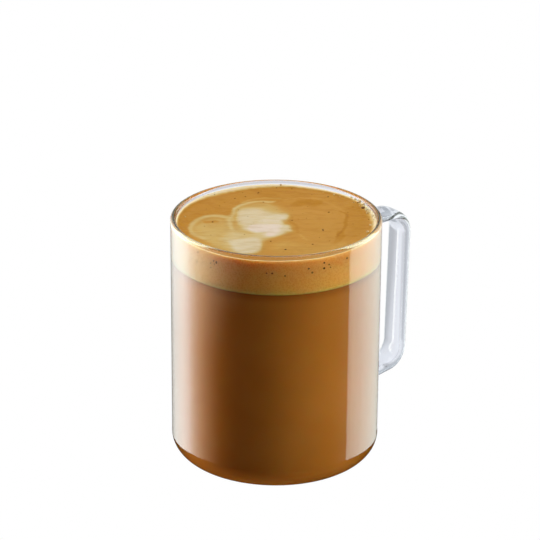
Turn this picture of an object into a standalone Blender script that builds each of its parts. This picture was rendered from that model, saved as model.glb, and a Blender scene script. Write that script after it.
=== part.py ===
"""A clear glass mug of flat white: the mug with its flat band handle, the milky coffee and the foam on it.

The mug stands on z = 0 with its axis on Z, and its handle points along +X. Lengths are in metres.
"""

import math

import bmesh
import bpy

# The mug: a straight cylinder of clear glass, blown thin, with a soft lower corner.
MUG_RADIUS = 0.040
MUG_HEIGHT = 0.0961
WALL = 0.0022
BASE = 0.003
CORNER_RADIUS = 0.0077
INNER_CORNER_RADIUS = 0.0058

# The handle: a flat band of glass that leaves the wall, turns down and comes back near the base.
BAND_WIDTH = 0.011
BAND_THICKNESS = 0.004
GRIP_TOP_REACH = 0.0640
GRIP_FOOT_REACH = 0.0625
BAND_TOP_AT_WALL = 0.0842
BAND_TOP_AT_GRIP = 0.0835
BAND_FOOT_AT_WALL = 0.0170
BAND_FOOT_AT_GRIP = 0.0202
TOP_BEND_RADIUS = 0.0084
FOOT_BEND_RADIUS = 0.0080
BAND_ROUNDNESS = 2.8
FUSED_SPREAD = 0.22
FUSED_LENGTH = 0.0035

# The drink: coffee up to the foam, and foam that stops a little under the rim.
FOAM_BOTTOM = 0.0806
FOAM_LEVEL = 0.0937
MENISCUS_RISE = 0.0005
MENISCUS_WIDTH = 0.0016
FROTH_RISE = 0.0005
FROTH_WIDTH = 0.0045
FROTH_MIDDLE = math.radians(-22.0)
FROTH_SPREAD = math.radians(38.0)
SWELL = 0.00012

# Fit and fineness: touching pieces keep this gap, and round shapes have this many sides.
GAP = 0.0003
SIDES = 96
FOAM_RINGS = 14
BAND_SIDES = 20
BEND_STEPS = 9
CORNER_STEPS = 6


def clear_scene():
    """Remove whatever the open scene holds."""
    for item in list(bpy.data.objects):
        bpy.data.objects.remove(item, do_unlink=True)


def material(name, colour, roughness, transmission=0.0, ior=1.45):
    """A Principled material with one colour."""
    made = bpy.data.materials.new(name)
    made.use_nodes = True
    made.diffuse_color = (*colour, 1.0)
    shader = made.node_tree.nodes["Principled BSDF"]
    shader.inputs["Base Color"].default_value = (*colour, 1.0)
    shader.inputs["Roughness"].default_value = roughness
    shader.inputs["Metallic"].default_value = 0.0
    shader.inputs["Transmission Weight"].default_value = transmission
    shader.inputs["IOR"].default_value = ior
    return made


def mesh_object(name, bm, finish):
    """Turn a closed bmesh into a smooth-shaded object with one material."""
    bmesh.ops.remove_doubles(bm, verts=bm.verts, dist=1e-6)
    bmesh.ops.recalc_face_normals(bm, faces=bm.faces)
    mesh = bpy.data.meshes.new(name)
    bm.to_mesh(mesh)
    bm.free()
    mesh.shade_smooth()
    mesh.set_sharp_from_angle(angle=math.radians(35.0))
    mesh.materials.append(finish)
    made = bpy.data.objects.new(name, mesh)
    bpy.context.collection.objects.link(made)
    return made


def arc(centre, radius, start, end, steps):
    """Points of a circular arc in the (radius, height) plane, angles in degrees."""
    points = []
    for step in range(steps + 1):
        angle = math.radians(start + (end - start) * step / steps)
        points.append((centre[0] + radius * math.cos(angle), centre[1] + radius * math.sin(angle)))
    return points


def turned(profile):
    """Spin a (radius, height) profile, which starts and ends on the axis, once round Z."""
    bm = bmesh.new()
    verts = [bm.verts.new((radius, 0.0, height)) for radius, height in profile]
    edges = [bm.edges.new(pair) for pair in zip(verts, verts[1:])]
    bmesh.ops.spin(bm, geom=verts + edges, cent=(0, 0, 0), axis=(0, 0, 1),
                   angle=math.tau, steps=SIDES, use_merge=True)
    bmesh.ops.remove_doubles(bm, verts=bm.verts, dist=1e-6)
    return bm


def vessel_profile():
    """The mug's wall from under the base, round the rim and down to the floor inside."""
    inside = MUG_RADIUS - WALL
    rim = WALL / 2
    profile = [(0.0, 0.0)]
    profile += arc((MUG_RADIUS - CORNER_RADIUS, CORNER_RADIUS), CORNER_RADIUS, -90, 0, CORNER_STEPS)
    profile += arc((MUG_RADIUS - rim, MUG_HEIGHT - rim), rim, 0, 180, CORNER_STEPS)
    profile += arc((inside - INNER_CORNER_RADIUS, BASE + INNER_CORNER_RADIUS),
                   INNER_CORNER_RADIUS, 0, -90, CORNER_STEPS)
    profile.append((0.0, BASE))
    return profile


def bend(before, corner, after, radius):
    """Points of the arc that rounds a corner of a (reach, height) line."""
    into = (before[0] - corner[0], before[1] - corner[1])
    out = (after[0] - corner[0], after[1] - corner[1])
    into_angle = math.atan2(into[1], into[0])
    out_angle = math.atan2(out[1], out[0])
    opening = (out_angle - into_angle + math.pi) % math.tau - math.pi
    middle = into_angle + opening / 2
    away = radius / math.sin(abs(opening) / 2)
    centre = (corner[0] + away * math.cos(middle), corner[1] + away * math.sin(middle))
    turn = math.copysign(math.pi - abs(opening), opening)
    start = middle + math.pi + turn / 2
    points = []
    for step in range(BEND_STEPS + 1):
        angle = start - turn * step / BEND_STEPS
        points.append((centre[0] + radius * math.cos(angle), centre[1] + radius * math.sin(angle)))
    return points


def band_line():
    """The middle line of the handle, from inside the wall at the top to inside it near the base."""
    buried = MUG_RADIUS - 0.6 * WALL
    top = (buried, BAND_TOP_AT_WALL)
    shoulder = (GRIP_TOP_REACH, BAND_TOP_AT_GRIP)
    heel = (GRIP_FOOT_REACH, BAND_FOOT_AT_GRIP)
    foot = (buried, BAND_FOOT_AT_WALL)
    leaving = [(top[0] + step, top[1]) for step in (0.0, WALL, 2 * WALL, 3.5 * WALL)]
    arriving = [(foot[0] + step, foot[1]) for step in (3.5 * WALL, 2 * WALL, WALL, 0.0)]
    line = leaving + bend(top, shoulder, heel, TOP_BEND_RADIUS)
    return line + bend(shoulder, heel, foot, FOOT_BEND_RADIUS) + arriving


def band_section(scale):
    """The band's rounded flat section, as (across the thickness, across the width) pairs."""
    points = []
    for side in range(BAND_SIDES):
        angle = math.tau * side / BAND_SIDES
        across, along = math.cos(angle), math.sin(angle)
        flat = 2 / BAND_ROUNDNESS
        points.append((math.copysign(abs(across) ** flat, across) * BAND_THICKNESS / 2 * scale,
                       math.copysign(abs(along) ** flat, along) * BAND_WIDTH / 2 * scale))
    return points


def handle_mesh():
    """Sweep the band's section along its line, a little larger where it is fused to the wall."""
    line = band_line()
    bm = bmesh.new()
    rings = []
    for index, (reach, height) in enumerate(line):
        before = line[max(index - 1, 0)]
        after = line[min(index + 1, len(line) - 1)]
        heading = math.atan2(after[1] - before[1], after[0] - before[0])
        normal = (-math.sin(heading), math.cos(heading))
        spread = 1 + FUSED_SPREAD * math.exp(-((reach - MUG_RADIUS + WALL / 2) / FUSED_LENGTH) ** 2)
        ring = []
        for across, along in band_section(spread):
            ring.append(bm.verts.new((reach + normal[0] * across, along, height + normal[1] * across)))
        rings.append(ring)
    for near, far in zip(rings, rings[1:]):
        for side in range(BAND_SIDES):
            following = (side + 1) % BAND_SIDES
            bm.faces.new((near[side], near[following], far[following], far[side]))
    bm.faces.new(rings[0])
    bm.faces.new(rings[-1])
    return bm


def fuse(body, addition):
    """Join one object to another with a Boolean union, applied, and remove the one added."""
    joining = body.modifiers.new("fused", "BOOLEAN")
    joining.operation = "UNION"
    joining.solver = "EXACT"
    joining.object = addition
    fused = bpy.data.meshes.new_from_object(body.evaluated_get(bpy.context.evaluated_depsgraph_get()))
    body.modifiers.remove(joining)
    body.data = fused
    fused.shade_smooth()
    fused.set_sharp_from_angle(angle=math.radians(35.0))
    bpy.data.objects.remove(addition, do_unlink=True)


def glass_mug():
    """The mug and its handle, one piece of glass."""
    glass = material("clear_glass", (0.93, 0.95, 0.95), 0.02, transmission=1.0, ior=1.50)
    mug = mesh_object("glass_mug", turned(vessel_profile()), glass)
    handle = mesh_object("handle", handle_mesh(), glass)
    fuse(mug, handle)
    return mug


def drink_reach():
    """The radius out to which the drink fills the mug, clear of the glass."""
    return MUG_RADIUS - WALL - GAP


def coffee():
    """The milky coffee, from the mug's floor up to the foam."""
    reach = drink_reach()
    corner = INNER_CORNER_RADIUS - GAP
    floor = BASE + GAP
    top = FOAM_BOTTOM - GAP / 2
    profile = [(0.0, floor)]
    profile += arc((reach - corner, floor + corner), corner, -90, 0, CORNER_STEPS)
    profile += [(reach, top), (0.0, top)]
    brown = material("milky_coffee", (0.216, 0.080, 0.021), 0.25)
    return mesh_object("coffee", turned(profile), brown)


def foam_height(x, y):
    """The foam's surface: it climbs the glass, swells gently and is higher where froth gathers."""
    from_wall = max(drink_reach() - math.hypot(x, y), 0.0)
    angle = math.atan2(y, x)
    climb = MENISCUS_RISE * math.exp(-(from_wall / MENISCUS_WIDTH) ** 1.5)
    beside = math.exp(-((angle - FROTH_MIDDLE) / FROTH_SPREAD) ** 2)
    froth = FROTH_RISE * beside * math.exp(-(from_wall / FROTH_WIDTH) ** 2)
    swell = SWELL * math.sin(x * 160 + 0.7) * math.cos(y * 130 - 0.4)
    return FOAM_LEVEL + climb + froth + swell


def milk_foam():
    """The foam, a layer that runs right across the mug on top of the coffee."""
    reach = drink_reach()
    floor = FOAM_BOTTOM + GAP / 2
    profile = [(0.0, floor), (reach, floor)]
    for ring in range(FOAM_RINGS):
        profile.append((reach * math.sin(math.pi / 2 * (1 - ring / FOAM_RINGS)), FOAM_LEVEL))
    profile.append((0.0, FOAM_LEVEL))
    bm = turned(profile)
    for vert in bm.verts:
        if vert.co.z > (floor + FOAM_LEVEL) / 2:
            vert.co.z = foam_height(vert.co.x, vert.co.y)
    cream = material("milk_foam", (0.604, 0.325, 0.102), 0.55)
    return mesh_object("milk_foam", bm, cream)


clear_scene()
glass_mug()
coffee()
milk_foam()
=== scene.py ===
"""A clear glass mug of flat white, dressed over its fixed frame: glass, milky coffee, foam and bubbles."""

import math
import random

import bmesh
import bpy
import numpy as np
from mathutils import Matrix, Vector, noise


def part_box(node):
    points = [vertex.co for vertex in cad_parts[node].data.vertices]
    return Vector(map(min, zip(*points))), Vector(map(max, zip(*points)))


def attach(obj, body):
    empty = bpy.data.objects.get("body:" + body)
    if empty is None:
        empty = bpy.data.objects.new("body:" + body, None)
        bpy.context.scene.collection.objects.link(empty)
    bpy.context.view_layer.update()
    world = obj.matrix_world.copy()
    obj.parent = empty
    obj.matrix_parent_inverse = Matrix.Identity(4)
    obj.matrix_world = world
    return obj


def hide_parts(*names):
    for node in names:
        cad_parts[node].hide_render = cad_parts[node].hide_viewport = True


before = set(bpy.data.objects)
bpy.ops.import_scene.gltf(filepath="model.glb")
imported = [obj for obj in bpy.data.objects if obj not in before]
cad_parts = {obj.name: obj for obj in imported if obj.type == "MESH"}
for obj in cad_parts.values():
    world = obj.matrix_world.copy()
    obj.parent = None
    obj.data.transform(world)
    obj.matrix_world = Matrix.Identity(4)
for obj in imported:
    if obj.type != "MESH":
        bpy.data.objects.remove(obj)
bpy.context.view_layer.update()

# The frame's own sizes, in metres. The mug's axis is Z and its handle points along +X.
MUG_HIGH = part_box("glass_mug")[1]
COFFEE_LOW, COFFEE_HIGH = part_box("coffee")
FOAM_LOW, FOAM_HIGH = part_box("milk_foam")
MUG_RADIUS = MUG_HIGH[1]
MUG_HEIGHT = MUG_HIGH[2]
FIT_GAP = 0.0003
INNER_RADIUS = FOAM_HIGH[1] + FIT_GAP
WALL = MUG_RADIUS - INNER_RADIUS
BASE = COFFEE_LOW[2] - FIT_GAP
FOAM_BOTTOM = (COFFEE_HIGH[2] + FOAM_LOW[2]) / 2

# The glass: the mug's lower corners and the handle's flat band.
CORNER_RADIUS = 0.0077
INNER_CORNER_RADIUS = 0.0058
# How far below the rim's top the painted grey rim line reaches.
PAINTED_RIM_LINE_DEPTH = 0.00005
BAND_WIDTH = 0.011
BAND_THICKNESS = 0.004
BAND_ROUNDNESS = 2.8
GRIP_TOP_REACH = MUG_HIGH[0] - BAND_THICKNESS / 2
GRIP_FOOT_REACH = GRIP_TOP_REACH - 0.0015
BAND_TOP_AT_WALL = 0.0842
BAND_TOP_AT_GRIP = 0.0835
BAND_FOOT_AT_WALL = 0.0170
BAND_FOOT_AT_GRIP = 0.0202
TOP_BEND_RADIUS = 0.0084
FOOT_BEND_RADIUS = 0.0080
FILLET = 0.0022

# The drink: how far it reaches into the glass, and the foam's surface.
INTO_WALL = 0.0004
COFFEE_INSET = 0.00002
LAYER_OVERLAP = 0.0001
FOAM_LEVEL = 0.0937
MENISCUS_RISE = 0.0003
MENISCUS_WIDTH = 0.0011
BACK_RISE = 0.0005
BACK_MIDDLE = math.radians(72.0)
BACK_SPREAD = math.radians(55.0)
FROTH_RISE = 0.0005
FROTH_WIDTH = 0.0045
FROTH_MIDDLE = math.radians(-22.0)
FROTH_SPREAD = math.radians(38.0)
LUMPS = 0.00022
SWELL = 0.00012
SKIN = 0.00002

# The camera, fitted to the photograph. It sees the handle turned away by HANDLE_TURN.
HANDLE_TURN = math.radians(40.0)
CAMERA_DISTANCE = 0.914
CAMERA_HEIGHT = 0.459
CAMERA_PITCH = math.radians(22.83)
CAMERA_YAW = math.radians(-0.14)
CAMERA_ROLL = math.radians(0.38)
SENSOR = 36.0
FOCAL_PIXELS = 2609.0
IMAGE_PIXELS = 540.0

SEED = 7
SHARP_ANGLE = 40.0


def seen(x, y):
    """A place given as the photograph shows it, x to the right and y away, in the frame's own axes."""
    cosine, sine = math.cos(HANDLE_TURN), math.sin(HANDLE_TURN)
    return x * cosine + y * sine, y * cosine - x * sine


def as_seen(x, y):
    """The other way round: a place in the frame's axes as the photograph shows it."""
    cosine, sine = math.cos(HANDLE_TURN), math.sin(HANDLE_TURN)
    return x * cosine - y * sine, y * cosine + x * sine


def linear(code):
    """An sRGB hex colour as linear light."""
    parts = [int(code[i:i + 2], 16) / 255 for i in (1, 3, 5)]
    return tuple(p / 12.92 if p <= 0.04045 else ((p + 0.055) / 1.055) ** 2.4 for p in parts) + (1.0,)


def add(tree, kind, values=None, links=None, **settings):
    """Add a node, with its settings, its sockets' values and what feeds them."""
    made = tree.nodes.new(kind)
    for name, value in settings.items():
        setattr(made, name, value)
    for socket, value in (values or {}).items():
        made.inputs[socket].default_value = value
    for socket, source in (links or {}).items():
        tree.links.new(source, made.inputs[socket])
    return made


def ramp(tree, factor, stops, mode="EASE"):
    """A colour ramp through (place, hex colour) stops."""
    made = add(tree, "ShaderNodeValToRGB", links={"Fac": factor})
    made.color_ramp.interpolation = mode
    elements = made.color_ramp.elements
    while len(elements) < len(stops):
        elements.new(0.5)
    for element, (place, code) in zip(elements, stops):
        element.position = place
        element.color = linear(code)
    return made.outputs["Color"]


def new_material(name):
    """An empty node material, its tree and its output."""
    made = bpy.data.materials.new(name)
    made.use_nodes = True
    made.node_tree.nodes.clear()
    return made, made.node_tree, add(made.node_tree, "ShaderNodeOutputMaterial")


def finished(name, bm, finish, sharp=SHARP_ANGLE):
    """A smooth-shaded object in the scene from a bmesh, with its material."""
    mesh = bpy.data.meshes.new(name)
    bm.to_mesh(mesh)
    bm.free()
    mesh.shade_smooth()
    mesh.set_sharp_from_angle(angle=math.radians(sharp))
    mesh.materials.append(finish)
    made = bpy.data.objects.new(name, mesh)
    bpy.context.collection.objects.link(made)
    return made


# Materials

def borosilicate_glass():
    """Blown borosilicate glass: colourless, fire-polished, with the faintest waviness from blowing."""
    made, tree, output = new_material("borosilicate_glass")
    place = add(tree, "ShaderNodeTexCoord").outputs["Object"]
    waviness = add(tree, "ShaderNodeTexNoise", {"Scale": 60.0, "Detail": 1.0}, {"Vector": place})
    bump = add(tree, "ShaderNodeBump", {"Strength": 0.02, "Distance": 0.0004},
               {"Height": waviness.outputs["Fac"]})
    shader = add(tree, "ShaderNodeBsdfPrincipled",
                 {"Base Color": linear("#fbfdfc"), "Roughness": 0.0, "IOR": 1.474,
                  "Transmission Weight": 1.0},
                 {"Normal": bump.outputs["Normal"]})
    tree.links.new(shader.outputs["BSDF"], output.inputs["Surface"])
    return made


def painted_rim_line():
    """Painted shade on the very top of the rim: grey, partly diffuse glass that draws the rim's dark
    refracted edge as a fine grey line.
    """
    made, tree, output = new_material("painted_rim_line")
    place = add(tree, "ShaderNodeTexCoord").outputs["Object"]
    cloud = add(tree, "ShaderNodeTexNoise", {"Scale": 90.0, "Detail": 1.0}, {"Vector": place})
    grey = ramp(tree, cloud.outputs["Fac"], [(0.35, "#a3a396"), (0.65, "#aeaea2")])
    shader = add(tree, "ShaderNodeBsdfPrincipled",
                 {"Roughness": 0.06, "IOR": 1.474, "Transmission Weight": 0.6}, {"Base Color": grey})
    tree.links.new(shader.outputs["BSDF"], output.inputs["Surface"])
    return made


def milky_coffee():
    """Espresso in steamed milk: an opaque fine emulsion, so light soaks in a little and comes out redder."""
    made, tree, output = new_material("milky_coffee")
    place = add(tree, "ShaderNodeTexCoord").outputs["Object"]
    height = add(tree, "ShaderNodeSeparateXYZ", links={"Vector": place}).outputs["Z"]
    near_foam = add(tree, "ShaderNodeMapRange", {"From Min": FOAM_BOTTOM - 0.004, "From Max": FOAM_BOTTOM},
                    {"Value": height}).outputs["Result"]
    cloud = add(tree, "ShaderNodeTexNoise", {"Scale": 45.0, "Detail": 2.0}, {"Vector": place})
    body = ramp(tree, cloud.outputs["Fac"], [(0.3, "#ae6928"), (0.7, "#b36e2d")])
    # Painted shade: the coffee is darker in its top 4 mm, just under the foam.
    shade_under_foam = ramp(tree, near_foam, [(0.0, "#ffffff"), (1.0, "#e3d2c2")])
    colour = add(tree, "ShaderNodeMix", {0: 1.0}, {6: body, 7: shade_under_foam}, data_type="RGBA",
                 blend_type="MULTIPLY")
    shader = add(tree, "ShaderNodeBsdfPrincipled",
                 {"Roughness": 0.4, "IOR": 1.34, "Specular IOR Level": 0.0, "Subsurface Weight": 0.7,
                  "Subsurface Radius": (1.0, 0.45, 0.15), "Subsurface Scale": 0.006},
                 {"Base Color": colour.outputs[2]})
    tree.links.new(shader.outputs["BSDF"], output.inputs["Surface"])
    return made


def foam_surface():
    """Crema-tinted microfoam from above: golden, with paler milk folded in and fine bubbles at 0.3 mm."""
    made, tree, output = new_material("crema_microfoam")
    place = add(tree, "ShaderNodeTexCoord").outputs["Object"]
    milk = add(tree, "ShaderNodeAttribute", attribute_name="milk").outputs["Fac"]
    tan = add(tree, "ShaderNodeAttribute", attribute_name="crema").outputs["Fac"]
    lace = add(tree, "ShaderNodeAttribute", attribute_name="lace").outputs["Fac"]
    front_shade = add(tree, "ShaderNodeAttribute", attribute_name="front_shade").outputs["Fac"]
    grain = add(tree, "ShaderNodeTexNoise", {"Scale": 900.0, "Detail": 3.0, "Roughness": 0.6},
                {"Vector": place}).outputs["Fac"]
    streak_place = add(tree, "ShaderNodeMapping", {"Rotation": (0.0, 0.0, -HANDLE_TURN),
                                                   "Scale": (2.4, 1.0, 1.0)}, {"Vector": place},
                       vector_type="TEXTURE")
    streaks = add(tree, "ShaderNodeTexNoise", {"Scale": 420.0, "Detail": 4.0},
                  {"Vector": streak_place.outputs["Vector"]}).outputs["Fac"]
    crema = ramp(tree, tan, [(0.0, "#965f1e"), (0.35, "#a87423"), (0.7, "#b48338"), (1.0, "#bd954a")])
    pale = ramp(tree, milk, [(0.2, "#b48a41"), (0.4, "#bb9c5b"), (0.55, "#c2ac79"), (0.75, "#c7b590"),
                             (0.85, "#c9ba97"), (1.0, "#d3c3b3")], "LINEAR")
    milky = add(tree, "ShaderNodeMapRange", {"From Min": 0.02, "From Max": 0.3}, {"Value": milk})
    folded = add(tree, "ShaderNodeMix", links={0: milky.outputs["Result"], 6: crema, 7: pale},
                 data_type="RGBA")
    marks = ramp(tree, streaks, [(0.32, "#f6f0e6"), (0.55, "#ffffff"), (0.75, "#fffaf1")])
    marked = add(tree, "ShaderNodeMix", {0: 1.0}, {6: folded.outputs[2], 7: marks}, data_type="RGBA",
                 blend_type="MULTIPLY")
    # Painted shade: the foam turns a darker amber in a band just inside the glass at the front left.
    amber = add(tree, "ShaderNodeMix", {7: linear("#a56c08")}, {0: front_shade, 6: marked.outputs[2]},
                data_type="RGBA")
    edge = ramp(tree, lace, [(0.0, "#b58742"), (0.35, "#c9a052"), (0.7, "#dcbf7c"), (1.0, "#ecdcb4")])
    edged = add(tree, "ShaderNodeMix", links={0: lace, 6: amber.outputs[2], 7: edge}, data_type="RGBA")
    bump = add(tree, "ShaderNodeBump", {"Strength": 0.25, "Distance": 0.00015}, {"Height": grain})
    shader = add(tree, "ShaderNodeBsdfPrincipled",
                 {"Roughness": 0.42, "IOR": 1.34, "Specular IOR Level": 0.12, "Subsurface Weight": 0.25,
                  "Subsurface Radius": (1.0, 0.6, 0.25), "Subsurface Scale": 0.0015},
                 {"Base Color": edged.outputs[2], "Normal": bump.outputs["Normal"]})
    tree.links.new(shader.outputs["BSDF"], output.inputs["Surface"])
    return made


def bubble_film():
    """Bubbles of milky froth: a liquid film over cream-coloured foam, so it is glossy and lets some light in.
    """
    made, tree, output = new_material("bubble_film")
    place = add(tree, "ShaderNodeTexCoord").outputs["Object"]
    cloud = add(tree, "ShaderNodeTexNoise", {"Scale": 1200.0, "Detail": 2.0}, {"Vector": place})
    cream = ramp(tree, cloud.outputs["Fac"], [(0.3, "#cda968"), (0.6, "#e6d3a6")])
    shader = add(tree, "ShaderNodeBsdfPrincipled",
                 {"Roughness": 0.12, "IOR": 1.34, "Subsurface Weight": 0.4,
                  "Subsurface Radius": (1.0, 0.7, 0.35), "Subsurface Scale": 0.001,
                  "Coat Weight": 0.6, "Coat Roughness": 0.03},
                 {"Base Color": cream})
    tree.links.new(shader.outputs["BSDF"], output.inputs["Surface"])
    return made


def burst_film():
    """Where a bubble has burst the coffee below shows: dark brown, liquid and glossy."""
    made, tree, output = new_material("burst_film")
    place = add(tree, "ShaderNodeTexCoord").outputs["Object"]
    cloud = add(tree, "ShaderNodeTexNoise", {"Scale": 300.0, "Detail": 1.0}, {"Vector": place})
    brown = ramp(tree, cloud.outputs["Fac"], [(0.35, "#3a210b"), (0.65, "#6b4316")])
    shader = add(tree, "ShaderNodeBsdfPrincipled", {"Roughness": 0.25, "IOR": 1.34}, {"Base Color": brown})
    tree.links.new(shader.outputs["BSDF"], output.inputs["Surface"])
    return made


def foam_side():
    """The same foam against the glass, wetter and browner, with a paler edge where it meets the coffee."""
    made, tree, output = new_material("foam_against_glass")
    place = add(tree, "ShaderNodeTexCoord").outputs["Object"]
    height = add(tree, "ShaderNodeSeparateXYZ", links={"Vector": place}).outputs["Z"]
    rising = add(tree, "ShaderNodeMapRange", {"From Min": FOAM_BOTTOM, "From Max": FOAM_LEVEL},
                 {"Value": height}).outputs["Result"]
    layers = ramp(tree, rising, [(0.0, "#f6b45c"), (0.04, "#f6b45c"), (0.1, "#e5a150"), (0.9, "#dd9f55"),
                                 (1.0, "#dfa866")])
    milk = add(tree, "ShaderNodeAttribute", attribute_name="milky_side").outputs["Fac"]
    blotches = add(tree, "ShaderNodeTexNoise", {"Scale": 70.0, "Detail": 3.0},
                   {"Vector": place}).outputs["Fac"]
    cells = add(tree, "ShaderNodeTexVoronoi", {"Scale": 1500.0}, {"Vector": place}).outputs["Distance"]
    both = add(tree, "ShaderNodeMath", {2: 0.12}, {0: cells, 1: blotches},
               operation="MULTIPLY_ADD").outputs[0]
    fine = ramp(tree, both, [(0.1, "#f2ddc6"), (0.45, "#ffffff")])
    paler = add(tree, "ShaderNodeMix", {7: linear("#cdb584")}, {0: milk, 6: layers}, data_type="RGBA")
    colour = add(tree, "ShaderNodeMix", {0: 1.0}, {6: paler.outputs[2], 7: fine}, data_type="RGBA",
                 blend_type="MULTIPLY")
    shader = add(tree, "ShaderNodeBsdfPrincipled",
                 {"Roughness": 0.5, "IOR": 1.34, "Specular IOR Level": 0.0, "Subsurface Weight": 0.85,
                  "Subsurface Radius": (1.0, 0.65, 0.35), "Subsurface Scale": 0.007},
                 {"Base Color": colour.outputs[2]})
    tree.links.new(shader.outputs["BSDF"], output.inputs["Surface"])
    return made


# Shapes turned round the mug's axis

def arc(centre, radius, start, end, steps):
    """Points of a circular arc in the (radius, height) plane, angles in degrees."""
    points = []
    for step in range(steps + 1):
        angle = math.radians(start + (end - start) * step / steps)
        points.append((centre[0] + radius * math.cos(angle), centre[1] + radius * math.sin(angle)))
    return points


def straight(start, end, steps):
    """Points strictly between two (radius, height) places."""
    return [(start[0] + (end[0] - start[0]) * k / steps, start[1] + (end[1] - start[1]) * k / steps)
            for k in range(1, steps)]


def turned(profile, sides):
    """Spin a (radius, height) profile, which starts and ends on the axis, once round Z."""
    bm = bmesh.new()
    verts = [bm.verts.new((radius, 0.0, height)) for radius, height in profile]
    edges = [bm.edges.new(pair) for pair in zip(verts, verts[1:])]
    bmesh.ops.spin(bm, geom=verts + edges, cent=(0, 0, 0), axis=(0, 0, 1),
                   angle=math.tau, steps=sides, use_merge=True)
    bmesh.ops.remove_doubles(bm, verts=bm.verts, dist=1e-7)
    bmesh.ops.recalc_face_normals(bm, faces=bm.faces)
    return bm


GLASS_SIDES = 224
ARC_STEPS = 14
WALL_RINGS = 30


def vessel_profile():
    """The mug's wall from under the base, round the fire-polished rim and down to the floor inside."""
    rim = WALL / 2
    corner = arc((MUG_RADIUS - CORNER_RADIUS, CORNER_RADIUS), CORNER_RADIUS, -90, 0, ARC_STEPS)
    lip = arc((MUG_RADIUS - rim, MUG_HEIGHT - rim), rim, 0, 180, ARC_STEPS)
    hollow = arc((INNER_RADIUS - INNER_CORNER_RADIUS, BASE + INNER_CORNER_RADIUS),
                 INNER_CORNER_RADIUS, 0, -90, ARC_STEPS)
    profile = [(0.0, 0.0)] + straight((0.0, 0.0), corner[0], 4) + corner
    profile += straight(corner[-1], lip[0], WALL_RINGS) + lip
    profile += straight(lip[-1], hollow[0], WALL_RINGS) + hollow
    return profile + straight(hollow[-1], (0.0, BASE), 4) + [(0.0, BASE)]


BEND_STEPS = 22
GRIP_STEPS = 40
BAND_SIDES = 44


def bend(before, corner, after, radius):
    """Points of the arc that rounds a corner of a (reach, height) line."""
    into_angle = math.atan2(before[1] - corner[1], before[0] - corner[0])
    out_angle = math.atan2(after[1] - corner[1], after[0] - corner[0])
    opening = (out_angle - into_angle + math.pi) % math.tau - math.pi
    middle = into_angle + opening / 2
    away = radius / math.sin(abs(opening) / 2)
    centre = (corner[0] + away * math.cos(middle), corner[1] + away * math.sin(middle))
    turn = math.copysign(math.pi - abs(opening), opening)
    start = middle + math.pi + turn / 2
    points = []
    for step in range(BEND_STEPS + 1):
        angle = start - turn * step / BEND_STEPS
        points.append((centre[0] + radius * math.cos(angle), centre[1] + radius * math.sin(angle)))
    return points


def band_line():
    """The middle line of the handle, from inside the wall at the top to inside it near the base."""
    buried = MUG_RADIUS - 0.6 * WALL
    top = (buried, BAND_TOP_AT_WALL)
    shoulder = (GRIP_TOP_REACH, BAND_TOP_AT_GRIP)
    heel = (GRIP_FOOT_REACH, BAND_FOOT_AT_GRIP)
    foot = (buried, BAND_FOOT_AT_WALL)
    shoulder_bend = bend(top, shoulder, heel, TOP_BEND_RADIUS)
    heel_bend = bend(shoulder, heel, foot, FOOT_BEND_RADIUS)
    line = [top] + straight(top, shoulder_bend[0], GRIP_STEPS) + shoulder_bend
    line += straight(shoulder_bend[-1], heel_bend[0], GRIP_STEPS) + heel_bend
    return line + straight(heel_bend[-1], foot, GRIP_STEPS) + [foot]


def fillet_growth(from_wall):
    """How much the band has grown on every side where it runs into the wall, like poured glass."""
    if from_wall >= FILLET:
        return 0.0
    depth = FILLET - max(from_wall, 0.0)
    return FILLET - math.sqrt(FILLET ** 2 - depth ** 2)


def handle_mesh():
    """Sweep the band's rounded flat section along its line."""
    line = band_line()
    flat = 2 / BAND_ROUNDNESS
    bm = bmesh.new()
    rings = []
    for index, (reach, height) in enumerate(line):
        before = line[max(index - 1, 0)]
        after = line[min(index + 1, len(line) - 1)]
        heading = math.atan2(after[1] - before[1], after[0] - before[0])
        normal = (-math.sin(heading), math.cos(heading))
        growth = fillet_growth(reach - MUG_RADIUS + 0.1 * WALL)
        ring = []
        for side in range(BAND_SIDES):
            angle = math.tau * side / BAND_SIDES
            across, along = math.cos(angle), math.sin(angle)
            across = math.copysign(abs(across) ** flat, across) * (BAND_THICKNESS / 2 + growth)
            along = math.copysign(abs(along) ** flat, along) * (BAND_WIDTH / 2 + growth)
            ring.append(bm.verts.new((reach + normal[0] * across, along, height + normal[1] * across)))
        rings.append(ring)
    for near, far in zip(rings, rings[1:]):
        for side in range(BAND_SIDES):
            following = (side + 1) % BAND_SIDES
            bm.faces.new((near[side], near[following], far[following], far[side]))
    bm.faces.new(rings[0])
    bm.faces.new(rings[-1])
    bmesh.ops.recalc_face_normals(bm, faces=bm.faces)
    return bm


def mug_glass(finish, lip):
    """The mug and its handle as one smooth piece of glass, with a painted grey rim line along the top of the
    rim.
    """
    mug = finished("mug_glass", turned(vessel_profile(), GLASS_SIDES), finish)
    handle = finished("handle", handle_mesh(), finish)
    joining = mug.modifiers.new("fused", "BOOLEAN")
    joining.operation = "UNION"
    joining.solver = "EXACT"
    joining.object = handle
    fused = bpy.data.meshes.new_from_object(mug.evaluated_get(bpy.context.evaluated_depsgraph_get()))
    mug.modifiers.remove(joining)
    mug.data = fused
    fused.shade_smooth()
    fused.set_sharp_from_angle(angle=math.radians(SHARP_ANGLE))
    bpy.data.objects.remove(handle, do_unlink=True)
    # Painted shade: faces along the very top of the rim take the grey finish that draws the rim's dark edge
    # line.
    fused.materials.append(lip)
    for face in fused.polygons:
        if min(fused.vertices[vert].co.z for vert in face.vertices) > MUG_HEIGHT - PAINTED_RIM_LINE_DEPTH:
            face.material_index = 1
    return mug


DRINK_SIDES = 256


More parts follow.
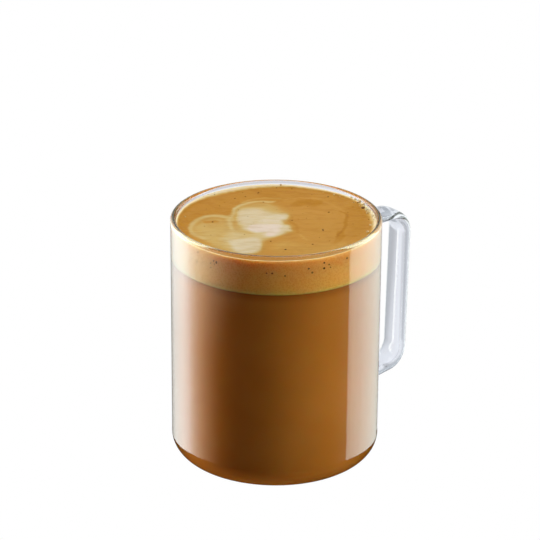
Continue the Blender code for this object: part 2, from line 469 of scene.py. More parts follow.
def coffee_fill(finish):
    """The coffee, which reaches just into the glass so that no air shows between them."""
    reach = INNER_RADIUS + INTO_WALL - COFFEE_INSET
    floor = BASE - INTO_WALL
    corner = INNER_CORNER_RADIUS + INTO_WALL
    top = FOAM_BOTTOM + LAYER_OVERLAP
    rounded = arc((reach - corner, floor + corner), corner, -90, 0, ARC_STEPS)
    profile = [(0.0, floor)] + straight((0.0, floor), rounded[0], 6) + rounded
    profile += straight(rounded[-1], (reach, top), 24) + [(reach, top)]
    profile += straight((reach, top), (0.0, top), 6) + [(0.0, top)]
    return finished("coffee_fill", turned(profile, DRINK_SIDES), finish)


# The foam, its milk pattern and its bubbles

def soft_step(low, high, value):
    """0 below low, 1 above high, smooth between."""
    share = np.clip((value - low) / (high - low), 0.0, 1.0)
    return share * share * (3 - 2 * share)


def ripple(x, y, scale, seed):
    """Smooth noise over arrays of places in millimetres, about -1 to 1."""
    values = [noise.noise(Vector((a / scale, b / scale, seed))) for a, b in zip(x, y)]
    return np.array(values)


def rounded_line(points, closed):
    """A given outline made smooth: a Catmull-Rom curve through its points."""
    steps = 5
    count = len(points)
    line = []
    for index in range(count if closed else count - 1):
        if closed:
            p, q, r, s = (points[(index + step) % count] for step in (-1, 0, 1, 2))
        else:
            p, q, r, s = (points[min(max(index + step, 0), count - 1)] for step in (-1, 0, 1, 2))
        for step in range(steps):
            t = step / steps
            line.append(tuple(0.5 * (2 * b + (c - a) * t + (2 * a - 5 * b + 4 * c - d) * t ** 2
                                     + (3 * b - a - 3 * c + d) * t ** 3) for a, b, c, d in zip(p, q, r, s)))
    return line if closed else line + [points[-1]]


def distance_to(x, y, line):
    """How far each place is from a line of points."""
    nearest = np.full(len(x), np.inf)
    for (ax, ay), (bx, by) in zip(line, line[1:]):
        length = (bx - ax) ** 2 + (by - ay) ** 2
        share = np.clip(((x - ax) * (bx - ax) + (y - ay) * (by - ay)) / max(length, 1e-9), 0.0, 1.0)
        nearest = np.minimum(nearest, np.hypot(x - ax - share * (bx - ax), y - ay - share * (by - ay)))
    return nearest


def patch(x, y, outline, softness):
    """A soft-edged patch, 1 inside its outline and 0 outside."""
    line = rounded_line(outline, closed=True)
    line.append(line[0])
    inside = np.zeros(len(x), bool)
    for (ax, ay), (bx, by) in zip(line, line[1:]):
        if ay != by:
            inside ^= ((ay > y) != (by > y)) & (x < ax + (y - ay) * (bx - ax) / (by - ay))
    depth = distance_to(x, y, line) * np.where(inside, 1.0, -1.0)
    return soft_step(-softness, softness, depth)


def stroke(x, y, points, width, softness):
    """A soft line through its points."""
    away = distance_to(x, y, rounded_line(points, closed=False))
    return 1 - soft_step(width / 2 - softness, width / 2 + softness, away)


# The milk, in millimetres as seen: each patch's strength, the softness of its edge and its outline, then
# each stroke's strength, its width and its points. The crema's light and dark places are given likewise.
MILK_SOFTNESS = 0.8
CREMA_SOFTNESS = 0.6
MILK_PATCHES = [
    (0.33, 3.0, [(-16, -6), (-17.5, 2), (-16, 10), (-12.5, 17.5), (-7, 20.5), (-2, 20), (2, 15), (4.5, 10),
                 (4, 3), (2, -4), (-4, -9), (-12, -9)]),
    (0.31, 3.4, [(-27, -16), (-31, -8), (-30, 0), (-26, 4.5), (-20, 4.5), (-17, 0), (-15, -8), (-20, -16)]),
    (0.40, 4.0, [(-29, -4), (-23, -5), (-18, -5), (-12, -8), (-6, -10), (-3, -15), (-6, -21), (-6, -29),
                 (-12, -32), (-20, -28), (-26, -22), (-30, -13)]),
    (0.52, 3.0, [(-14.5, 2), (-15, 10), (-11.5, 15), (-6, 15.5), (-1, 11), (4, 9), (4.5, 3), (3, -3),
                 (5, -9), (-2, -16), (-8, -12), (-13, -7)]),
    (0.55, 3.0, [(-17, -8), (-12, -12), (-6, -12), (-4, -16), (-6, -24), (-12, -30), (-18, -24), (-19, -16)]),
    (0.78, 1.6, [(-14.5, 10), (-11.5, 13.5), (-7, 14), (-4.5, 11), (-1.5, 8), (1.5, 8), (3.8, 8), (4.2, 5),
                 (2.2, 2), (2.2, 0), (3, -2), (5.6, -3), (5.6, -8), (3, -9), (2, -12), (-2, -15), (-4.5, -14),
                 (-5.5, -10), (-8, -10), (-11, -6.5), (-13, -3), (-15, 3)]),
    (0.88, 1.7, [(-7, 1), (-4.5, 6), (0, 7), (3, 7.4), (3.4, 4), (1.5, 1), (2, -2), (-3, -3)]),
    (1.00, 1.8, [(-11, -4), (-8, -2), (-4, -1.5), (0, -2), (2.5, -3.5), (1.5, -6), (2, -9), (-0.5, -13),
                 (-3, -14), (-5, -10), (-8, -9.5), (-10.4, -7)]),
    (0.84, 1.2, [(-16.5, -18), (-10, -15.5), (-6, -17), (-5.6, -22), (-6, -27.5), (-9, -30.5), (-13, -29.5),
                 (-16, -26), (-17, -21)]),
]
MILK_STROKES = [
    (0.50, 1.7, [(-15.5, -9), (-17.5, -3), (-18, 2), (-17, 8), (-15.5, 13.5), (-13, 18), (-10, 20.5),
                 (-6.5, 21.7), (-3, 21.4), (-1, 21.6)]),
    (0.45, 2.4, [(-27, -17), (-30.5, -12), (-32, -7), (-31.5, -2), (-29, 3), (-25.5, 5.8), (-22, 6.2),
                 (-19, 5), (-17, 2.5)]),
    (0.30, 1.2, [(-13, 20), (-9, 24), (-4, 25.5), (1, 25)]),
]
CREMA_STROKES = [
    (-0.38, 0.9, [(24.5, 12), (26.5, 8), (26.6, 3), (26, -3), (24.5, -9), (22.5, -14)]),
    (-0.22, 2.6, [(24, -9), (24, -14), (21.5, -20)]),
    (0.24, 0.9, [(3, 24), (8, 25.5), (13, 26), (17, 25)]),
    (0.20, 0.9, [(18, 22), (22, 18), (25, 12), (25.5, 5)]),
    (-0.15, 1.4, [(4, 10), (6, 6), (5, 1), (8, -4), (8, -10)]),
    (0.14, 1.2, [(9, -12), (12, -17), (18, -18)]),
]
CREMA_PATCHES = [
    (-0.30, 1.5, [(6, 18), (8, 22), (12, 24), (16, 23), (17, 20), (15, 17.5), (11, 18.5), (8, 17)]),
    (-0.10, 2.5, [(26, 14), (33, 16), (36, 4), (33, -12), (25, -18), (27, -4)]),
    (0.20, 3.5, [(-2, -19), (10, -20), (18, -19), (27, -19), (24, -28), (14, -32), (0, -32), (-3, -28)]),
    (0.10, 3.0, [(6, 12), (16, 14), (22, 8), (22, -4), (18, -14), (8, -20), (0, -26), (8, -4)]),
]


def milk_share(x, y):
    """How much milk shows on the foam: a poured swirl, left of the middle, places in millimetres as seen."""
    broad = ripple(x, y, 5.0, 1.5)
    drift = ripple(x, y, 5.0, 9.5)
    jag = ripple(x / 5, y, 0.9, 4.5)
    fine = ripple(x, y, 1.3, 14.5)
    x = x + 0.9 * broad + 0.5 * jag + 0.15 * fine
    y = y + 0.6 * drift
    share = np.zeros(len(x))
    for strength, softness, outline in MILK_PATCHES:
        share += np.maximum(strength - share, 0.0) * patch(x, y, outline, softness)
    for strength, width, points in MILK_STROKES:
        share += np.maximum(strength - share, 0.0) * stroke(x, y, points, width, MILK_SOFTNESS)
    share *= 1 - 0.8 * stroke(x, y, [(-26.5, -0.5), (-23, 0.6)], 2.2, 0.8)
    share *= 1 - 0.2 * stroke(x, y, [(2.6, 1.5), (3.6, 0), (3, -1.6)], 2.0, 0.9)
    return np.clip(share + 0.07 * jag * soft_step(0.1, 0.3, share), 0.0, 1.0)


def crema_tone(x, y):
    """How light the crema is: darker at the back and left, with faint rings round the right-hand side."""
    warp = ripple(x, y, 6.0, 21.5)
    broad = ripple(x, y, 13.0, 31.5)
    streak = ripple(x / 4, y, 1.1, 41.5)
    fine = ripple(x, y, 1.0, 51.5)
    tone = 0.62 + 0.09 * broad + 0.045 * streak + 0.03 * fine
    tone -= 0.14 * soft_step(-4, 34, 0.5 * y - 0.85 * x)
    tone -= 0.02 * soft_step(16, 32, y)
    x = x + 0.8 * warp + 0.4 * streak
    y = y + 0.5 * fine
    for strength, width, points in CREMA_STROKES:
        tone += strength * stroke(x, y, points, width, CREMA_SOFTNESS)
    for strength, softness, outline in CREMA_PATCHES:
        tone += strength * patch(x, y, outline, softness)
    return np.clip(tone, 0.0, 1.0)


def hump(bearing, middle, spread):
    """A smooth rise round one bearing, in degrees."""
    off = (bearing - middle + 180) % 360 - 180
    return np.exp(-(off / spread) ** 2)


def lace_share(x, y):
    """The pale lace of fine froth on the glass: broad at the back and along the right, thin in front."""
    bearing = np.degrees(np.arctan2(y, x))
    width = 0.2 + 2.8 * hump(bearing, 122, 34) + 1.2 * hump(bearing, 75, 40) + 3.4 * hump(bearing, 6, 26)
    width += 0.9 * hump(bearing, 185, 30)
    uneven = 1 + 0.25 * ripple(x, y, 1.8, 61.5)
    return 1 - soft_step(0.1, 1.0, (INNER_RADIUS * 1000 - np.hypot(x, y)) / (width * uneven))


def front_shade_share(x, y):
    """Painted shade: a darker amber ring of the foam just inside the glass, only at the front left."""
    bearing = np.degrees(np.arctan2(y, x))
    from_wall = INNER_RADIUS * 1000 - np.hypot(x, y)
    across = soft_step(0.1, 0.3, from_wall) * (1 - soft_step(3.2, 4.6, from_wall))
    return 0.95 * across * soft_step(-140, -125, bearing) * (1 - soft_step(-86, -60, bearing))


def milky_side_share(x, y):
    """Where the poured milk reached the glass, so the foam's side is paler: the front left."""
    bearing = np.degrees(np.arctan2(y, x))
    return 0.8 * hump(bearing, -150, 24)


def froth_share(x, y):
    """Where loose bubbles gather: along the glass on the right-hand side, and a few elsewhere at its edge."""
    bearing = np.degrees(np.arctan2(y, x))
    from_wall = INNER_RADIUS * 1000 - np.hypot(x, y)
    gathered = hump(bearing, 12, 22) * (1 - soft_step(0.8, 2.8, from_wall))
    stray = 0.1 * (1 - soft_step(0.3, 1.0, from_wall)) * (1 - hump(bearing, -90, 60))
    return np.maximum(gathered, stray) * soft_step(0.1, 0.3, from_wall)


FOAM_RINGS = 118
FOAM_SIDES = 448


def foam_height(x, y):
    """The foam's surface: it climbs the glass, swells gently and is higher where froth gathers."""
    from_wall = max(INNER_RADIUS - math.hypot(x, y), 0.0)
    angle = math.atan2(y, x)
    off_back = (angle - BACK_MIDDLE + math.pi) % math.tau - math.pi
    rise = MENISCUS_RISE + BACK_RISE * math.exp(-(off_back / BACK_SPREAD) ** 2)
    climb = rise * math.exp(-(from_wall / MENISCUS_WIDTH) ** 1.5)
    beside = math.exp(-((angle - FROTH_MIDDLE) / FROTH_SPREAD) ** 2)
    froth = FROTH_RISE * beside * math.exp(-(from_wall / FROTH_WIDTH) ** 2)
    lumps = LUMPS * beside * noise.noise(Vector((x * 900, y * 900, 3.0)))
    lumps *= math.exp(-(from_wall / FROTH_WIDTH) ** 2)
    swell = SWELL * math.sin(x * 160 + 0.7) * math.cos(y * 130 - 0.4)
    skin = SKIN * noise.noise(Vector((x * 700, y * 700, 8.0)))
    return FOAM_LEVEL + climb + froth + lumps + swell + skin


def store(mesh, name, values):
    """Keep a number for every vertex as an attribute that materials and Geometry Nodes read."""
    layer = mesh.attributes.new(name, "FLOAT", "POINT")
    layer.data.foreach_set("value", np.asarray(values, np.float32))


def foam_fill(surface, side):
    """The foam: a fine top with its relief and milk pattern, and a side that reaches just into the glass."""
    reach = INNER_RADIUS + INTO_WALL
    floor = FOAM_BOTTOM - LAYER_OVERLAP
    profile = [(0.0, floor)] + straight((0.0, floor), (reach, floor), 6) + [(reach, floor)]
    profile += straight((reach, floor), (reach, FOAM_LEVEL), 16)
    profile += [(reach * (1 - ring / FOAM_RINGS), FOAM_LEVEL) for ring in range(FOAM_RINGS + 1)]
    bm = turned(profile, FOAM_SIDES)
    for vert in bm.verts:
        if vert.co.z > FOAM_LEVEL - 1e-5:
            vert.co.z = foam_height(vert.co.x, vert.co.y)
    foam = finished("foam_fill", bm, surface, sharp=60.0)
    mesh = foam.data
    mesh.materials.append(side)
    top = FOAM_LEVEL - 0.0002
    for face in mesh.polygons:
        face.material_index = 0 if min(mesh.vertices[v].co.z for v in face.vertices) > top else 1
    places = np.empty(len(mesh.vertices) * 3)
    mesh.vertices.foreach_get("co", places)
    places = places.reshape(-1, 3)
    x, y = as_seen(places[:, 0] * 1000, places[:, 1] * 1000)
    shares = {"milk": milk_share, "crema": crema_tone, "lace": lace_share, "front_shade": front_shade_share,
              "froth": froth_share, "milky_side": milky_side_share}
    for name, share in shares.items():
        store(mesh, name, share(x, y))
    return foam


def grown(name, carrier, tree, inputs):
    """Run a Geometry Nodes tree on a carrier mesh and keep what it makes as a plain mesh."""
    made = bpy.data.objects.new(name, carrier)
    bpy.context.collection.objects.link(made)
    growing = made.modifiers.new("grown", "NODES")
    growing.node_group = tree
    for socket in tree.interface.items_tree:
        if socket.in_out == "INPUT" and socket.name in inputs:
            growing[socket.identifier] = inputs[socket.name]
    result = bpy.data.meshes.new_from_object(made.evaluated_get(bpy.context.evaluated_depsgraph_get()))
    made.modifiers.remove(growing)
    made.data = result
    return made


def bubble_tree(name, sizes):
    """An empty Geometry Nodes tree with a geometry input, named inputs and a geometry output."""
    tree = bpy.data.node_groups.new(name, "GeometryNodeTree")
    tree.interface.new_socket("Geometry", in_out="OUTPUT", socket_type="NodeSocketGeometry")
    tree.interface.new_socket("Geometry", in_out="INPUT", socket_type="NodeSocketGeometry")
    for label, kind in sizes:
        tree.interface.new_socket(label, in_out="INPUT", socket_type=kind)
    return tree, add(tree, "NodeGroupInput").outputs


def bubbles_on(tree, points, scale, finish, rotation=None):
    """Put a round bubble on every point, realised and finished, as the tree's result."""
    ball = add(tree, "GeometryNodeMeshIcoSphere", {"Radius": 1.0, "Subdivisions": 2}).outputs["Mesh"]
    links = {"Points": points, "Instance": ball, "Scale": scale}
    if rotation:
        links["Rotation"] = rotation
    placed = add(tree, "GeometryNodeInstanceOnPoints", links=links).outputs["Instances"]
    real = add(tree, "GeometryNodeRealizeInstances", links={"Geometry": placed}).outputs["Geometry"]
    smooth = add(tree, "GeometryNodeSetShadeSmooth", links={"Geometry": real}).outputs["Geometry"]
    dressed = add(tree, "GeometryNodeSetMaterial", links={"Geometry": smooth, "Material": finish})
    add(tree, "NodeGroupOutput", links={"Geometry": dressed.outputs["Geometry"]})


def froth_tree():
    """Loose bubbles strewn over the faces of a mesh where its froth attribute is high."""
    tree, given = bubble_tree("froth", [("Smallest", "NodeSocketFloat"), ("Largest", "NodeSocketFloat"),
                                        ("Bubbles per square metre", "NodeSocketFloat"),
                                        ("Seed", "NodeSocketInt"), ("Finish", "NodeSocketMaterial")])
    froth = add(tree, "GeometryNodeInputNamedAttribute", {"Name": "froth"}, data_type="FLOAT")
    density = add(tree, "ShaderNodeMath", links={0: froth.outputs["Attribute"],
                                                 1: given["Bubbles per square metre"]}, operation="MULTIPLY")
    points = add(tree, "GeometryNodeDistributePointsOnFaces",
                 links={"Mesh": given["Geometry"], "Density": density.outputs[0], "Seed": given["Seed"]})
    chance = add(tree, "FunctionNodeRandomValue", {2: 0.0, 3: 1.0}, {8: given["Seed"]}, data_type="FLOAT")
    skewed = add(tree, "ShaderNodeMath", {1: 3.0}, {0: chance.outputs[1]}, operation="POWER")
    radius = add(tree, "ShaderNodeMapRange", links={"Value": skewed.outputs[0], "To Min": given["Smallest"],
                                                    "To Max": given["Largest"]})
    bubbles_on(tree, points.outputs["Points"], radius.outputs["Result"], given["Finish"])
    return tree


def placed_tree():
    """A bubble on every vertex, with the radii of its size attribute, turned to face its facing attribute."""
    tree, given = bubble_tree("placed_bubbles", [("Finish", "NodeSocketMaterial")])
    size = add(tree, "GeometryNodeInputNamedAttribute", {"Name": "size"}, data_type="FLOAT_VECTOR")
    facing = add(tree, "GeometryNodeInputNamedAttribute", {"Name": "facing"}, data_type="FLOAT_VECTOR")
    turn = add(tree, "FunctionNodeAlignRotationToVector", links={"Vector": facing.outputs["Attribute"]},
               axis="Z")
    bubbles_on(tree, given["Geometry"], size.outputs["Attribute"], given["Finish"], turn.outputs["Rotation"])
    return tree


def bubble_points(name, bubbles):
    """A mesh of loose vertices for placed_tree, from (place, radii, facing) of each bubble."""
    mesh = bpy.data.meshes.new(name)
    mesh.from_pydata([place for place, radii, facing in bubbles], [], [])
    for label, which in (("size", 1), ("facing", 2)):
        layer = mesh.attributes.new(label, "FLOAT_VECTOR", "POINT")
        layer.data.foreach_set("vector", [part for bubble in bubbles for part in bubble[which]])
    return mesh


# Bubbles on the foam, in millimetres as seen: x to the right, y away, and the radius.
BURST_ON_TOP = [(-7, 31, 0.35), (0, 36, 0.3), (6, 35, 0.25), (-16, 25, 0.3), (-12, 27, 0.25), (-5, 21, 0.3),
                (20, 27, 0.35), (20, 11, 0.4), (17.5, -6.4, 0.4), (17.6, -7.6, 0.35), (3.5, -27, 0.45),
                (-2, -19, 0.35), (13.5, -21.5, 0.4), (6, 2, 0.3), (35, 3, 0.3), (33.2, 14.6, 0.9),
                (-24.6, -27, 0.8), (-24, 0, 0.35)]
WHOLE_ON_TOP = [(32.0, 20.4, 1.1), (33.4, 17.6, 0.8), (30.6, 22.6, 0.7), (34.4, 12.4, 0.6), (34.8, 9.2, 0.5),
                (35.4, -3.0, 0.5), (34.2, -9.4, 0.6), (-34.6, 5.0, 0.4), (29.0, 24.6, 0.5)]
# Burst bubbles against the glass: the bearing in degrees, 0 towards the camera, the height and the radius.
BURST_AT_SIDE = [(42, 91.4, 0.42), (30, 90.8, 0.3), (27, 91.8, 0.36), (18, 90.4, 0.36), (27, 89.7, 0.45),
                 (-5, 89.2, 0.3), (-2, 89.2, 0.34), (5, 88.2, 0.34), (20, 88.7, 0.4), (31, 89.5, 0.26)]
# Strays: how many, and the ranges that they are drawn from. Heights have their commonest value last.
STRAY_ON_TOP = 34
STRAY_REACH = 36
STRAY_RADII = (0.1, 0.2)
STRAY_AT_SIDE = 90
SIDE_STRAY_BEARINGS = (55, 330)
SIDE_STRAY_HEIGHTS = (82.0, 92.8, 90.5)
SIDE_STRAY_RADII = (0.1, 0.34)
BURST_FLATNESS = 0.35
WHOLE_FLATNESS = 0.8
SIDE_BURST_DEPTH = 0.0001


def on_top(x, y, radius, flatness):
    """A bubble on the foam's surface, from a place as seen, in millimetres."""
    place = seen(x / 1000, y / 1000)
    height = foam_height(*place)
    return (*place, height), (radius / 1000, radius / 1000, radius * flatness / 1000), (0.0, 0.0, 1.0)


def at_side(bearing, height, radius):
    """A burst bubble in the foam's side, flat against the glass."""
    place = bearing_place(bearing, INNER_RADIUS + INTO_WALL, height / 1000)
    outward = (place.x, place.y, 0.0)
    return tuple(place), (radius / 1000, radius / 1000, SIDE_BURST_DEPTH), outward


def burst_bubbles(finish):
    """Dark specks where bubbles have burst: those that show, and strays all round, fewer and smaller."""
    draw = random.Random(SEED)
    bubbles = [on_top(x, y, radius, BURST_FLATNESS) for x, y, radius in BURST_ON_TOP]
    bubbles += [at_side(*bubble) for bubble in BURST_AT_SIDE]
    for stray in range(STRAY_ON_TOP):
        reach = STRAY_REACH * math.sqrt(draw.random())
        angle = draw.uniform(0, math.tau)
        radius = draw.uniform(*STRAY_RADII)
        bubbles.append(on_top(reach * math.cos(angle), reach * math.sin(angle), radius, BURST_FLATNESS))
    for stray in range(STRAY_AT_SIDE):
        bearing = draw.uniform(*SIDE_STRAY_BEARINGS)
        height = draw.triangular(*SIDE_STRAY_HEIGHTS)
        bubbles.append(at_side(bearing, height, draw.uniform(*SIDE_STRAY_RADII)))
    return grown("burst_bubbles", bubble_points("burst_bubbles", bubbles), placed_tree(), {"Finish": finish})


def whole_bubbles(finish):
    """The few large bubbles that stand whole at the foam's edge."""
    bubbles = [on_top(x, y, radius, WHOLE_FLATNESS) for x, y, radius in WHOLE_ON_TOP]
    return grown("whole_bubbles", bubble_points("whole_bubbles", bubbles), placed_tree(), {"Finish": finish})


def loose_froth(foam, finish):
    """Small loose bubbles that gather along the glass."""
    return grown("froth", foam.data.copy(), froth_tree(),
                 {"Smallest": 0.00012, "Largest": 0.00042, "Bubbles per square metre": 2.0e6, "Seed": SEED,
                  "Finish": finish})


# The studio

STUDIO_RADIUS = 6.0
REFLECTOR_COLUMNS = 60
REFLECTOR_ROWS = 24
RIGHT_EDGE = 84.8
HIGH_BAND = (-0.167, -0.138)


def bearing_place(bearing, distance, height):
    """A place round the mug. The bearing is 0 towards the camera and grows to its right."""
    angle = math.radians(bearing)
    x, y = seen(math.sin(angle) * distance, -math.cos(angle) * distance)
    return Vector((x, y, height))


def glow_material(name, colour, strength):
    """A light panel: its glow follows the mesh's own attributes, and warms where they say."""
    made, tree, output = new_material(name)
    share = add(tree, "ShaderNodeAttribute", attribute_name="glow").outputs["Fac"]
    warmth = add(tree, "ShaderNodeAttribute", attribute_name="warmth").outputs["Fac"]
    tint = add(tree, "ShaderNodeMix", {6: linear(colour), 7: linear("#fff6da")}, {0: warmth},
               data_type="RGBA")
    power = add(tree, "ShaderNodeMath", {1: strength}, {0: share}, operation="MULTIPLY").outputs[0]
    light = add(tree, "ShaderNodeEmission", links={"Color": tint.outputs[2], "Strength": power})
    tree.links.new(light.outputs["Emission"], output.inputs["Surface"])
    made.cycles.emission_sampling = "NONE"
    return made


def grid_mesh(grid):
    """A sheet of quads through a grid of places, given column by column."""
    bm = bmesh.new()
    columns = [[bm.verts.new(place) for place in column] for column in grid]
    for left, right in zip(columns, columns[1:]):
        for row in range(len(left) - 1):
            bm.faces.new((left[row], right[row], right[row + 1], left[row + 1]))
    return bm


def seen_only_by(made, *rays):
    """Make a studio mesh seen only by the named kinds of ray."""
    for kind in ("camera", "diffuse", "glossy", "transmission", "shadow"):
        setattr(made, "visible_" + kind, kind in rays)


def reflector(name, bearings, heights, distance, glow, cool, colour, strength):
    """A curved diffuser round the mug that only its glass mirrors. glow(bearing, height) gives its share.

    It is warm at its front and takes its own colour between the two bearings in cool.
    """
    bearings = np.linspace(*bearings, REFLECTOR_COLUMNS + 1)
    heights = np.linspace(*heights, REFLECTOR_ROWS + 1)
    grid = [[bearing_place(bearing, distance, height) for height in heights] for bearing in bearings]
    panel = finished(name, grid_mesh(grid), glow_material(name, colour, strength))
    places = [(bearing, height) for bearing in bearings for height in heights]
    store(panel.data, "glow", [glow(bearing, height) for bearing, height in places])
    store(panel.data, "warmth", [1.0 - between(*cool, abs(bearing)) for bearing, height in places])
    seen_only_by(panel, "glossy")


def softbox(name, bearing, distance, height, size, power, colour):
    """A soft area light that lights the drink but isn't mirrored in the glass."""
    lamp = bpy.data.lights.new(name, "AREA")
    lamp.shape = "RECTANGLE"
    lamp.size, lamp.size_y = size
    lamp.energy = power
    lamp.color = linear(colour)[:3]
    made = bpy.data.objects.new(name, lamp)
    bpy.context.collection.objects.link(made)
    place = bearing_place(bearing, distance, height)
    aim = (Vector(LIT_MIDDLE) - place).to_track_quat("-Z", "Y")
    made.matrix_world = Matrix.Translation(place) @ aim.to_matrix().to_4x4()
    made.visible_camera = False
    made.visible_glossy = False
    made.visible_transmission = False


def between(low, high, value):
    """How far a value is from low to high, held to 0 and 1."""
    return min(max((value - low) / (high - low), 0.0), 1.0)


def right_glow(bearing, height):
    """The right-hand diffuser has a hard front edge, a faint haze before it, and dims towards the back."""
    if bearing < RIGHT_EDGE:
        return 0.1 * between(58.0, RIGHT_EDGE, bearing) ** 2
    front = 0.82 + 0.18 * between(RIGHT_EDGE, RIGHT_EDGE + 7.0, bearing)
    back = 1.0 - 0.8 * between(110.0, 160.0, bearing) ** 1.2
    return front * back * (1.0 + 0.12 * between(*HIGH_BAND, height))


def left_glow(bearing, height):
    """The left-hand diffuser fades in softly from the front, is broader and brighter above, dims behind."""
    away = -bearing
    high = between(*HIGH_BAND, height)
    rise = between(58.0 - 26.0 * high, 108.0 + 2.0 * high, away) ** (1.7 - 0.25 * high)
    fall = 1.0 - 0.9 * between(118.0, 160.0, away)
    return rise * fall * (0.76 + 0.2 * high)


def glowing_mesh(name, bm, colour, strength, ray):
    """A mesh of the studio that glows evenly, seen only by one kind of ray."""
    finish, tree, output = new_material(name)
    light = add(tree, "ShaderNodeEmission", {"Color": linear(colour), "Strength": strength})
    tree.links.new(light.outputs["Emission"], output.inputs["Surface"])
    finish.cycles.emission_sampling = "NONE"
    seen_only_by(finished(name, bm, finish), ray)


def disc(radius, height):
    """A flat disc round the mug's axis."""
    bm = bmesh.new()
    bmesh.ops.create_circle(bm, cap_ends=True, segments=96, radius=radius,
                            matrix=Matrix.Translation((0, 0, height)))
    return bm


SIDE_HEIGHTS = (-0.276, 0.45)
BACK_HEIGHTS = (-0.276, 0.2)
# The black flag stands edge-on to the camera: its place across, and how far away and how high it reaches.
FLAG_ACROSS = 0.014
FLAG_AWAY = (0.0415, 0.075)
FLAG_HEIGHTS = (0.0, 0.086)
# Each light's name, bearing, distance, height, size, power in watts and colour. They aim at LIT_MIDDLE.
LIT_MIDDLE = (0.0, 0.0, 0.05)
LIGHTS = [
    ("strip_right", 45.0, 0.11, 0.05, (0.02, 0.14), 0.0776, "#f0fff0"),
    ("strip_left", -53.0, 0.058, 0.05, (0.008, 0.14), 0.0141, "#ffffff"),
    ("light_back", 180.0, 0.7, 0.2, (0.8, 0.6), 5.0, "#ffffff"),
    ("light_front", 0.0, 0.8, 0.5, (0.5, 0.5), 0.9, "#ffdcc4"),
    ("light_below", 0.0, 0.001, -0.25, (0.08, 0.08), 0.25, "#fff4e6"),
    ("light_top", 180.0, 0.25, 0.7, (0.7, 0.7), 6.0, "#ffffff"),
]
# The floor as glass shows it: its brightness from left to right, as seen, and how white it turns far behind.
FLOOR_HEIGHT = -0.0004
FLOOR_SHARES = [(-0.6, 0.84), (-0.03, 0.74), (0.012, 0.76), (0.026, 0.93), (0.036, 0.98), (0.045, 0.95),
                (0.053, 0.90), (0.060, 0.82), (0.066, 0.75), (0.072, 0.68), (0.080, 0.63), (0.095, 0.60),
                (0.6, 0.60)]
FLOOR_ROWS = [(-0.6, 0.0), (0.225, 0.0), (0.24, 1.0), (0.6, 1.0)]
FAR_SHARE = 0.97


def floor_through_glass():
    """The floor as glass shows it: white behind the mug, and grey to its right, where it darkens the handle.

    Only rays that have passed through glass see it.
    """
    grid = [[(*seen(across, away), FLOOR_HEIGHT - 0.0001) for away, far in FLOOR_ROWS]
            for across, share in FLOOR_SHARES]
    finish = glow_material("floor_through_glass", "#f2f5ff", 1.0)
    made = finished("floor_through_glass", grid_mesh(grid), finish)
    store(made.data, "glow", [share + (FAR_SHARE - share) * far for across, share in FLOOR_SHARES
                              for away, far in FLOOR_ROWS])
    seen_only_by(made, "transmission")


def black_flag():
    """A black card behind the mug, seen only in reflections, that keeps the handle's inner face dark."""
    grid = [[(*seen(FLAG_ACROSS, away), height) for height in FLAG_HEIGHTS] for away in FLAG_AWAY]
    glowing_mesh("black_flag", grid_mesh(grid), "#000000", 0.0, "glossy")


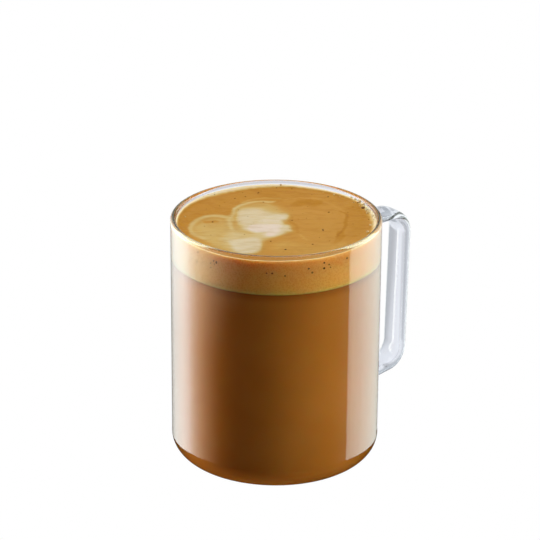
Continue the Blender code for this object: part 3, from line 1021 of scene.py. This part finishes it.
def studio():
    """A plain white floor and backdrop, diffusers that the glass mirrors, and soft light on the drink."""
    glowing_mesh("floor", disc(STUDIO_RADIUS, FLOOR_HEIGHT), "#ffffff", 1.0, "camera")
    floor_through_glass()
    black_flag()
    shell = bmesh.new()
    bmesh.ops.create_uvsphere(shell, u_segments=48, v_segments=24, radius=STUDIO_RADIUS)
    glowing_mesh("backdrop", shell, "#ffffff", 1.0, "camera")
    glowing_mesh("ceiling", disc(0.5, 0.8), "#fffdf6", 1.2, "glossy")
    reflector("diffuser_right", (58.0, 160.0), SIDE_HEIGHTS, 0.55, right_glow, (40.0, 50.0), "#f4fdf6", 4.05)
    reflector("diffuser_left", (-168.0, -30.0), SIDE_HEIGHTS, 0.55, left_glow, (84.0, 108.0), "#f8fdf8", 6.9)
    reflector("diffuser_back", (162.0, 196.0), BACK_HEIGHTS, 0.58, lambda bearing, height: 1.0, (0.0, 1.0),
              "#f7fbff", 0.9)
    for light in LIGHTS:
        softbox(*light)
    world = bpy.data.worlds.new("studio")
    world.use_nodes = True
    ground = world.node_tree.nodes["Background"]
    ground.inputs["Color"].default_value = linear("#b2b7c0")
    ground.inputs["Strength"].default_value = 1.2
    world.cycles_visibility.camera = False
    world.cycles_visibility.diffuse = False
    world.cycles_visibility.glossy = False
    bpy.context.scene.world = world


def camera():
    """The camera at the photograph's viewing angle."""
    lens = bpy.data.cameras.new("camera")
    lens.sensor_width = SENSOR
    lens.lens = FOCAL_PIXELS / IMAGE_PIXELS * SENSOR
    lens.clip_end = 20.0
    made = bpy.data.objects.new("camera", lens)
    bpy.context.collection.objects.link(made)
    place = bearing_place(0.0, CAMERA_DISTANCE, CAMERA_HEIGHT)
    level = math.cos(CAMERA_PITCH)
    x, y = seen(math.sin(CAMERA_YAW) * level, math.cos(CAMERA_YAW) * level)
    ahead = Vector((x, y, -math.sin(CAMERA_PITCH)))
    x, y = seen(math.cos(CAMERA_YAW), -math.sin(CAMERA_YAW))
    flat = Vector((x, y, 0.0))
    upright = flat.cross(ahead)
    right = flat * math.cos(CAMERA_ROLL) + upright * math.sin(CAMERA_ROLL)
    up = upright * math.cos(CAMERA_ROLL) - flat * math.sin(CAMERA_ROLL)
    turn = Matrix((right, up, -ahead)).transposed()
    made.matrix_world = Matrix.Translation(place) @ turn.to_4x4()
    bpy.context.scene.camera = made


def dress():
    """Make every piece and put it on the frame."""
    glass = mug_glass(borosilicate_glass(), painted_rim_line())
    glass.visible_diffuse = False
    glass.visible_shadow = False
    coffee = coffee_fill(milky_coffee())
    foam = foam_fill(foam_surface(), foam_side())
    for piece, node in ((glass, "glass_mug"), (coffee, "coffee"), (foam, "milk_foam")):
        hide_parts(node)
    film = bubble_film()
    froth = (loose_froth(foam, film), whole_bubbles(film), burst_bubbles(burst_film()))
    for piece in (glass, coffee, foam, *froth):
        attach(piece, "root")


dress()
studio()
camera()
bpy.context.scene.view_settings.view_transform = "Standard"
